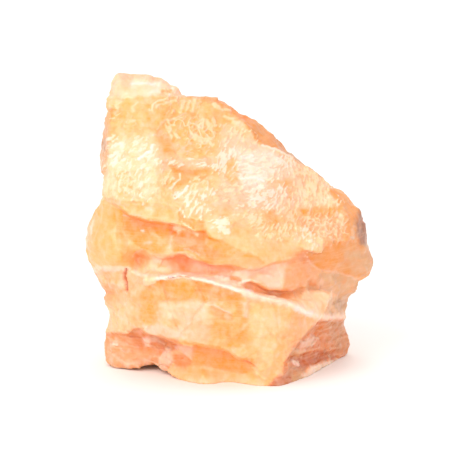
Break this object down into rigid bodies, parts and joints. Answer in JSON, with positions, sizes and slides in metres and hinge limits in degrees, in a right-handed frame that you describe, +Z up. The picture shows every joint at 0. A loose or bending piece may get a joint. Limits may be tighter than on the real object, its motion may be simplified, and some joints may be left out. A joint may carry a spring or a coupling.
{
  "type": "orange calcite chunk",
  "caption": "Rough natural chunk of orange calcite with a slanting etched slab, torn ledges, a pale vein and a flat broken base; a mineral specimen that stands on a shelf.",
  "frame": {"origin": "middle of the stone's box, on the flat broken base that it rests on", "axes": "+Z up from the base, +Y from the slanting pale slab at the front to the broken back, +X to the right as the slab is seen"},
  "size_m": [0.1, 0.075, 0.1035],
  "materials": {
    "calcite": "broken translucent orange calcite, waxy on fresh breaks and finely etched on the pale skin"
  },
  "bodies": {
    "root": {"calcite": "calcite"}
  },
  "joints": []
}
